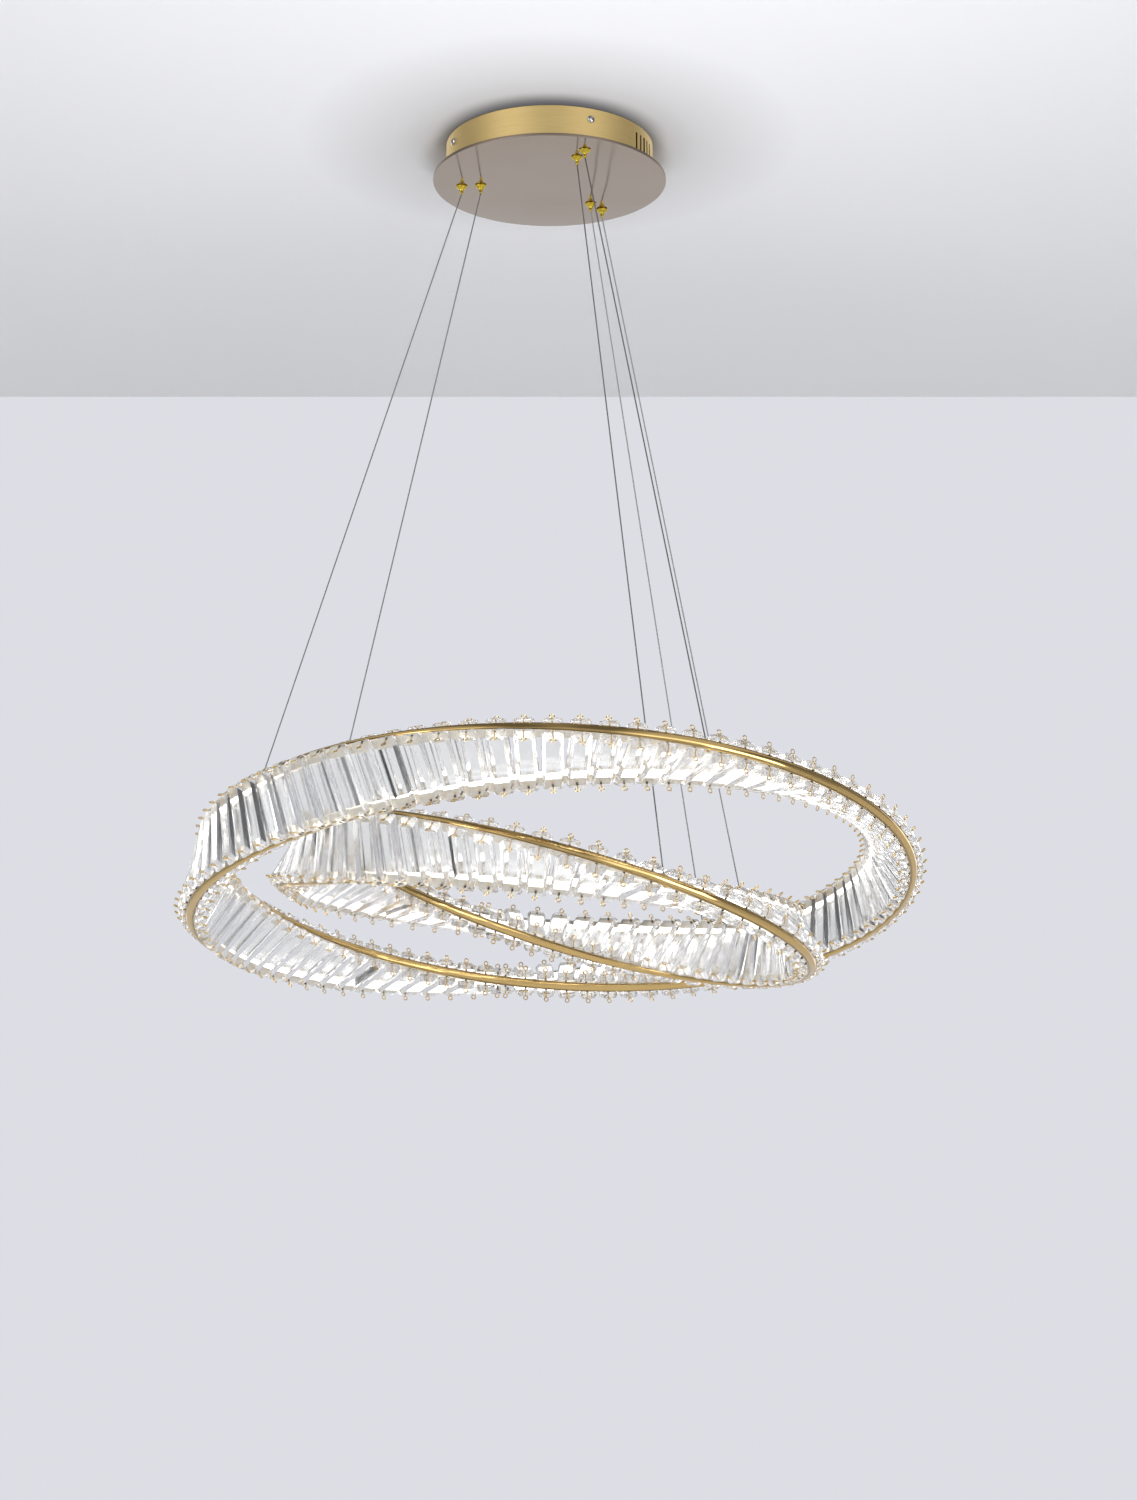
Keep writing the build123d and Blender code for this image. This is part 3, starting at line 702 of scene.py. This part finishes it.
# Crystals.  Clear glass bars, cut and polished, with a flat back, an upright girdle, bevels
# to a long table and four cut corners.  Light turns many times inside them before it comes
# out, so it is followed for more bounces than usual.
crystal_glass, tree, shader = new_material("crystal_glass")
set_sockets(shader, Base_Color=(1.0, 1.0, 1.0, 1.0), IOR=1.52, Transmission_Weight=1.0)
haze = tree.nodes.new("ShaderNodeGroup")
haze.node_tree = mottle
haze.inputs["Scale"].default_value = 30.0
haze.inputs["Grain"].default_value = (1, 1, 1)
ground = tree.nodes.new("ShaderNodeAttribute")
ground.attribute_name = "ground_back"
haze_rough = tree.nodes.new("ShaderNodeMapRange")
haze_rough.inputs["To Min"].default_value = 0.03
haze_rough.inputs["To Max"].default_value = 0.07
back_rough = tree.nodes.new("ShaderNodeMath")
back_rough.operation = "MULTIPLY_ADD"
back_rough.inputs[1].default_value = 0.10
tree.links.new(haze.outputs["Mask"], haze_rough.inputs["Value"])
tree.links.new(ground.outputs["Fac"], back_rough.inputs[0])
tree.links.new(haze_rough.outputs["Result"], back_rough.inputs[2])
tree.links.new(back_rough.outputs["Value"], shader.inputs["Roughness"])
light_paths = bpy.context.scene.cycles
light_paths.max_bounces = 32
light_paths.glossy_bounces = 32
light_paths.transmission_bounces = 32
CRYSTAL_L, CRYSTAL_W, CRYSTAL_T = 0.073, 0.020, 0.008
BACK_CHAMFER, GIRDLE_TOP = 0.0006, 0.0035
TABLE_IN_L, TABLE_IN_W = 0.005, 0.0028
SEAT_GAP = 0.0005
octagon_faces = np.array([[0, 1, 2, 3], [0, 3, 4, 7], [4, 5, 6, 7]])


def crystal_levels():
    """Four stacked octagons (half length, half width, corner cut, height) of one crystal."""
    length, width = CRYSTAL_L / 2, CRYSTAL_W / 2
    levels = [
        (length - BACK_CHAMFER, width - BACK_CHAMFER, 0.0024, 0.0),
        (length, width, 0.0026, BACK_CHAMFER),
        (length, width, 0.0026, GIRDLE_TOP),
        (length - TABLE_IN_L, width - TABLE_IN_W, 0.0030, CRYSTAL_T),
    ]
    a, b, c, h = np.array(levels).T
    x = np.stack([a, a, a - c, c - a, -a, -a, c - a, a - c], 1)
    z = np.stack([c - b, b - c, b, b, b - c, c - b, -b, -b], 1)
    y = np.repeat(h[:, None], 8, 1)
    return np.stack([x, y, z], -1)


def crystal_lift(ring):
    """A crystal's back above the ribbon plane: half a rail, the rail's turn under it, and a gap."""
    return RAIL_HALF_W + REACH * CRYSTAL_W / 2 / ring["radius"] + SEAT_GAP


def crystal_axes(ring, repeats=1):
    """Ribbon core, across, face and along at the middle of every crystal, each one repeated."""
    angle = JUNCTION + (np.arange(ring["crystals"]) + 0.5) * 360.0 / ring["crystals"]
    return (np.repeat(part, repeats, 0) for part in ribbon(ring, angle))


def crystal_row(ring, face_side):
    """One template placed at every crystal's own ribbon axes: core + x across + y face + z along."""
    core, across, face, along = crystal_axes(ring)
    local = crystal_levels().reshape(-1, 3)
    x, y, z = local.T
    points = core[:, None] + x[None, :, None] * across[:, None] + z[None, :, None] * along[:, None]
    points = points + (face_side * (crystal_lift(ring) + y))[None, :, None] * face[:, None]
    sides = grid_faces(4, 8, close_columns=True)
    table = octagon_faces[:, ::-1] + 3 * 8
    template = np.concatenate([sides, octagon_faces, table])[:, ::face_side]
    faces = template[None] + len(local) * np.arange(ring["crystals"])[:, None, None]
    return points.reshape(-1, 3), faces.reshape(-1, 4)


is_back = np.repeat([0.0, 1.0, 0.0], [3 * 8, len(octagon_faces), len(octagon_faces)])
for ring_name, ring in RINGS.items():
    for side, letter in ((1, "a"), (-1, "b")):
        row = make_piece(
            f"{ring_name}_crystals_{letter}_cut", *crystal_row(ring, side),
            crystal_glass, "crystal", f"{ring_name}_ring", 5.0,
        )
        back = row.data.attributes.new("ground_back", "FLOAT", "FACE")
        back.data.foreach_set("value", np.tile(is_back, ring["crystals"]).astype(np.float32))
        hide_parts(f"{ring_name}_crystal_row_{letter}")


# Crystal pins.  A gold wire pin goes through a hole near each end of every crystal
# into the rail's flange, and its standing loop holds the crystal down.
HOLE_E = 0.0325
STEM_R, STEM_FOOT = 0.0006, 0.0045
LOOP_R, LOOP_WIRE_R, LOOP_SINK = 0.0023, 0.00055, 0.0004


def pin_template(lift):
    """A six-sided stem up through the crystal, and on it a ring of 8 by 4 faces: at t round the
    loop and s round its wire, (small sin s, (big + small cos s) sin t, (big + small cos s) cos t)."""
    t, s = np.meshgrid(np.arange(8) * np.pi / 4, np.arange(4) * np.pi / 2, indexing="ij")
    reach = LOOP_R + LOOP_WIRE_R * np.cos(s)
    loop_x = LOOP_WIRE_R * np.sin(s)
    loop_y = lift + CRYSTAL_T - LOOP_SINK + LOOP_R + reach * np.sin(t)
    loop = np.stack([loop_x, loop_y, reach * np.cos(t)], -1).reshape(-1, 3)
    turn = np.arange(6) * np.pi / 3
    stem_x, stem_z = (np.tile(STEM_R * part, 2) for part in (np.cos(turn), np.sin(turn)))
    stem = np.stack([stem_x, np.repeat([STEM_FOOT, lift + CRYSTAL_T], 6), stem_z], -1)
    loop_faces = grid_faces(8, 4, close_rows=True, close_columns=True)[:, ::-1]
    stem_faces = grid_faces(2, 6, close_columns=True) + len(loop)
    return np.concatenate([loop, stem]), np.concatenate([loop_faces, stem_faces])


def at_both_ends(ring, face_side, local, template):
    """A template at both pin holes of every crystal on one face of the ribbon:
    core + (end + x) across + y face + z along."""
    core, across, face, along = crystal_axes(ring, 2)
    end = np.tile([HOLE_E, -HOLE_E], ring["crystals"])
    x, y, z = local.T
    points = core[:, None] + (end[:, None] + x[None])[..., None] * across[:, None]
    points = points + (face_side * y)[None, :, None] * face[:, None] + z[None, :, None] * along[:, None]
    faces = template[:, ::face_side][None] + len(local) * np.arange(len(end))[:, None, None]
    return points.reshape(-1, 3), faces.reshape(-1, 4)


for ring_name, ring in RINGS.items():
    pin = pin_template(crystal_lift(ring))
    for side, letter in ((1, "a"), (-1, "b")):
        make_piece(
            f"{ring_name}_pins_{letter}", *at_both_ends(ring, side, *pin),
            pin_gold, "polished_gold", f"{ring_name}_ring", 60.0,
        )


# Seat washers. A small washer round each pin fills the gap between a crystal's back and the rail's flange.
# It is near black, painted shade at the pin hole, and shows through the crystal as a dark dot.
washer_painted_shade, tree, shader = new_material("seat_washer_painted_shade")
finish_with_mottle(
    tree, shader, 300.0, (1, 1, 1),
    colours=((0.012, 0.009, 0.006), (0.035, 0.026, 0.018)),
    roughness=(0.5, 0.7), bump=(0.2, 0.0001),
)
WASHER_R, WASHER_FOOT, WASHER_GAP = 0.0011, 0.0046, 0.0001


def washer_template(lift):
    """An eight-sided drum (r cos t, y, r sin t) from inside the flange up to the crystal's back."""
    turn = np.arange(8) * np.pi / 4
    x, z = (np.tile(WASHER_R * part, 2) for part in (np.cos(turn), np.sin(turn)))
    y = np.repeat([WASHER_FOOT, lift - WASHER_GAP], 8)
    cap = octagon_faces[:, ::-1] + 8
    return np.stack([x, y, z], -1), np.concatenate([grid_faces(2, 8, close_columns=True), cap])


for ring_name, ring in RINGS.items():
    washer = washer_template(crystal_lift(ring))
    for side, letter in ((1, "a"), (-1, "b")):
        make_piece(
            f"{ring_name}_washers_{letter}", *at_both_ends(ring, side, *washer),
            washer_painted_shade, "driver_case", f"{ring_name}_ring", 60.0,
        )


# Room.  A pale ceiling and floor around the light, seen from inside only, with soft light
# from all sides.  Mirrored rays see bright panels, rays through glass see a pale middle with
# dark sides, and the camera stands where the photograph was taken.
HEADING, LOOK_UP = 0.1176, 0.2332
ahead = np.array([-np.sin(HEADING), np.cos(HEADING), 0.0])
right = np.array([np.cos(HEADING), np.sin(HEADING), 0.0])
eye = np.array([0.4300, -3.4657, -1.4967])
CEILING_Z, CEILING_END = 0.0006, 4.308
FLOOR_Z, ROOM_HALF = -2.6, 30.0
PAINTED_SHADOW_SHIFT = 0.018


def room_paint(name, halo_shadow_level, broad_shade_level):
    """Matt paint seen from one side only. A painted shadow: its tone rises from a given dark level to 1
    close round the canopy, a little in front of it. Painted shade: it rises from a second given level to
    full further out."""
    material, tree, shader = new_material(name)
    shader.inputs["Roughness"].default_value = 0.9
    place = tree.nodes.new("ShaderNodeTexCoord")
    from_front = tree.nodes.new("ShaderNodeVectorMath")
    from_front.operation = "ADD"
    from_front.inputs[1].default_value = ahead * PAINTED_SHADOW_SHIFT
    distance = tree.nodes.new("ShaderNodeVectorMath")
    distance.operation = "LENGTH"
    painted_shadow_fade = tree.nodes.new("ShaderNodeMapRange")
    painted_shadow_fade.interpolation_type = "SMOOTHSTEP"
    painted_shadow_fade.inputs["From Min"].default_value = 0.094
    painted_shadow_fade.inputs["From Max"].default_value = 0.130
    painted_shadow_fade.inputs["To Min"].default_value = halo_shadow_level
    painted_shadow_mix = tree.nodes.new("ShaderNodeMix")
    painted_shadow_mix.data_type = "RGBA"
    painted_shadow_mix.inputs[6].default_value = (0.0, 0.01, 0.04, 1.0)
    painted_broad_shade = tree.nodes.new("ShaderNodeMapRange")
    painted_broad_shade.inputs["From Min"].default_value = 0.13
    painted_broad_shade.inputs["From Max"].default_value = 0.27
    painted_broad_shade.inputs["To Min"].default_value = broad_shade_level
    paint = tree.nodes.new("ShaderNodeMix")
    paint.data_type = "RGBA"
    paint.inputs[6].default_value = (0.0, 0.0, 0.0, 1.0)
    paint.inputs[7].default_value = (0.80, 0.80, 0.81, 1.0)
    side_seen = tree.nodes.new("ShaderNodeNewGeometry")
    through = tree.nodes.new("ShaderNodeBsdfTransparent")
    one_way = tree.nodes.new("ShaderNodeMixShader")
    link = tree.links.new
    link(place.outputs["Object"], from_front.inputs[0])
    link(from_front.outputs[0], distance.inputs[0])
    link(distance.outputs["Value"], painted_broad_shade.inputs["Value"])
    link(painted_broad_shade.outputs["Result"], paint.inputs[0])
    link(paint.outputs[2], painted_shadow_mix.inputs[7])
    link(distance.outputs["Value"], painted_shadow_fade.inputs["Value"])
    link(painted_shadow_fade.outputs["Result"], painted_shadow_mix.inputs[0])
    link(painted_shadow_mix.outputs[2], shader.inputs["Base Color"])
    link(side_seen.outputs["Backfacing"], one_way.inputs["Fac"])
    link(shader.outputs["BSDF"], one_way.inputs[1])
    link(through.outputs["BSDF"], one_way.inputs[2])
    link(one_way.outputs["Shader"], tree.nodes["Material Output"].inputs["Surface"])
    return material


def flat_stage(name, near, far, height, up, halo_shadow_level, broad_shade_level):
    """A level rectangle from near to far ahead of the camera, facing up or down."""
    under_eye = eye * (1, 1, 0) + (0.0, 0.0, height)
    spans = ((near, -ROOM_HALF), (near, ROOM_HALF), (far, ROOM_HALF), (far, -ROOM_HALF))
    points = np.array([under_eye + ahead * depth + right * width for depth, width in spans])
    mesh = bpy.data.meshes.new(name)
    mesh.from_pydata(points.tolist(), [], [(0, 1, 2, 3) if up else (3, 2, 1, 0)])
    mesh.materials.append(room_paint(f"{name}_paint", halo_shadow_level, broad_shade_level))
    slab = bpy.data.objects.new(name, mesh)
    bpy.context.scene.collection.objects.link(slab)
    return slab


# The ceiling carries a painted shadow round the canopy and painted shade further out; the floor stays at
# full tone.
ceiling = flat_stage("ceiling", 0.0, CEILING_END, CEILING_Z, up=False, halo_shadow_level=0.20, broad_shade_level=0.76)
ceiling.visible_glossy = False
flat_stage("floor", -ROOM_HALF, ROOM_HALF, FLOOR_Z, up=True, halo_shadow_level=1.0, broad_shade_level=1.0)
world = bpy.data.worlds.new("studio")
bpy.context.scene.world = world
world.use_nodes = True
tree = world.node_tree
backdrop = tree.nodes["Background"]
backdrop.inputs["Color"].default_value = (0.72, 0.73, 0.78, 1.0)
toward = tree.nodes.new("ShaderNodeTexCoord")
sideways = tree.nodes.new("ShaderNodeVectorMath")
sideways.operation = "DOT_PRODUCT"
sideways.inputs[1].default_value = right
either = tree.nodes.new("ShaderNodeMath")
either.operation = "ABSOLUTE"
boxes = tree.nodes.new("ShaderNodeValToRGB")
box_stops = [(0.0, 0.44), (0.05, 0.40), (0.10, 0.27), (0.25, 0.24)]
box_stops += [(0.42, 1.0), (0.70, 1.0), (0.82, 0.14), (1.0, 0.14)]
fill_ramp(boxes, box_stops, (0.96, 0.97, 1.0))
glass_room = tree.nodes.new("ShaderNodeValToRGB")
fill_ramp(glass_room, [(0.0, 0.56), (0.30, 0.56), (0.45, 0.10), (1.0, 0.04)], (0.97, 0.98, 1.0))
room_seen = tree.nodes.new("ShaderNodeMix")
room_seen.data_type = "RGBA"
upright = tree.nodes.new("ShaderNodeSeparateXYZ")
level = tree.nodes.new("ShaderNodeMapRange")
level.interpolation_type = "SMOOTHSTEP"
level.inputs["From Min"].default_value = 0.20
level.inputs["From Max"].default_value = 0.55
level.inputs["To Min"].default_value = 2.0
level.inputs["To Max"].default_value = 0.62
strength = tree.nodes.new("ShaderNodeMix")
strength.inputs[2].default_value = 1.4
mirrored_only = tree.nodes.new("ShaderNodeMath")
mirrored_only.operation = "SUBTRACT"
mirrored_only.use_clamp = True
surround = tree.nodes.new("ShaderNodeBackground")
seen = tree.nodes.new("ShaderNodeLightPath")
choose = tree.nodes.new("ShaderNodeMixShader")
tree.links.new(toward.outputs["Generated"], sideways.inputs[0])
tree.links.new(sideways.outputs["Value"], either.inputs[0])
tree.links.new(either.outputs["Value"], boxes.inputs["Fac"])
tree.links.new(either.outputs["Value"], glass_room.inputs["Fac"])
tree.links.new(seen.outputs["Is Transmission Ray"], room_seen.inputs[0])
tree.links.new(boxes.outputs["Color"], room_seen.inputs[6])
tree.links.new(glass_room.outputs["Color"], room_seen.inputs[7])
tree.links.new(room_seen.outputs[2], surround.inputs["Color"])
tree.links.new(toward.outputs["Generated"], upright.inputs[0])
tree.links.new(upright.outputs["Z"], level.inputs["Value"])
tree.links.new(seen.outputs["Is Glossy Ray"], mirrored_only.inputs[0])
tree.links.new(seen.outputs["Is Transmission Ray"], mirrored_only.inputs[1])
tree.links.new(mirrored_only.outputs["Value"], strength.inputs[0])
tree.links.new(level.outputs["Result"], strength.inputs[3])
tree.links.new(strength.outputs[0], surround.inputs["Strength"])
tree.links.new(seen.outputs["Is Camera Ray"], choose.inputs["Fac"])
tree.links.new(surround.outputs["Background"], choose.inputs[1])
tree.links.new(backdrop.outputs["Background"], choose.inputs[2])
tree.links.new(choose.outputs["Shader"], tree.nodes["World Output"].inputs["Surface"])


def soft_light(name, place, aim, size, power):
    """A square soft light at a place, aimed at a point."""
    lamp = bpy.data.lights.new(name, "AREA")
    lamp.size = size
    lamp.energy = power
    holder = bpy.data.objects.new(name, lamp)
    holder.location = place
    direction = np.array(aim) - np.array(place)
    flat = np.hypot(direction[0], direction[1])
    holder.rotation_euler = (np.arctan2(flat, -direction[2]), 0.0, np.arctan2(-direction[0], direction[1]))
    bpy.context.scene.collection.objects.link(holder)
    return holder


soft_light("key", (-2.6, -2.6, -0.4), (0, 0, -0.7), 1.6, 40.0)
soft_light("fill", (2.8, -1.6, -0.9), (0, 0, -0.7), 1.4, 22.0)
ceiling_wash = soft_light("ceiling_wash", (0.2, -0.9, -1.1), (0, -0.3, 0), 0.5, 9.0)
ceiling_wash.visible_camera = False
ceiling_wash.visible_glossy = False
ceiling_wash.visible_transmission = False
camera = bpy.data.cameras.new("camera")
camera.sensor_width = 36.0
camera.lens = 83.38
camera_holder = bpy.data.objects.new("camera", camera)
camera_holder.location = eye
camera_holder.rotation_euler = (np.pi / 2 + LOOK_UP, 0.0, HEADING)
bpy.context.scene.collection.objects.link(camera_holder)
bpy.context.scene.camera = camera_holder
bpy.context.scene.view_settings.view_transform = "Standard"
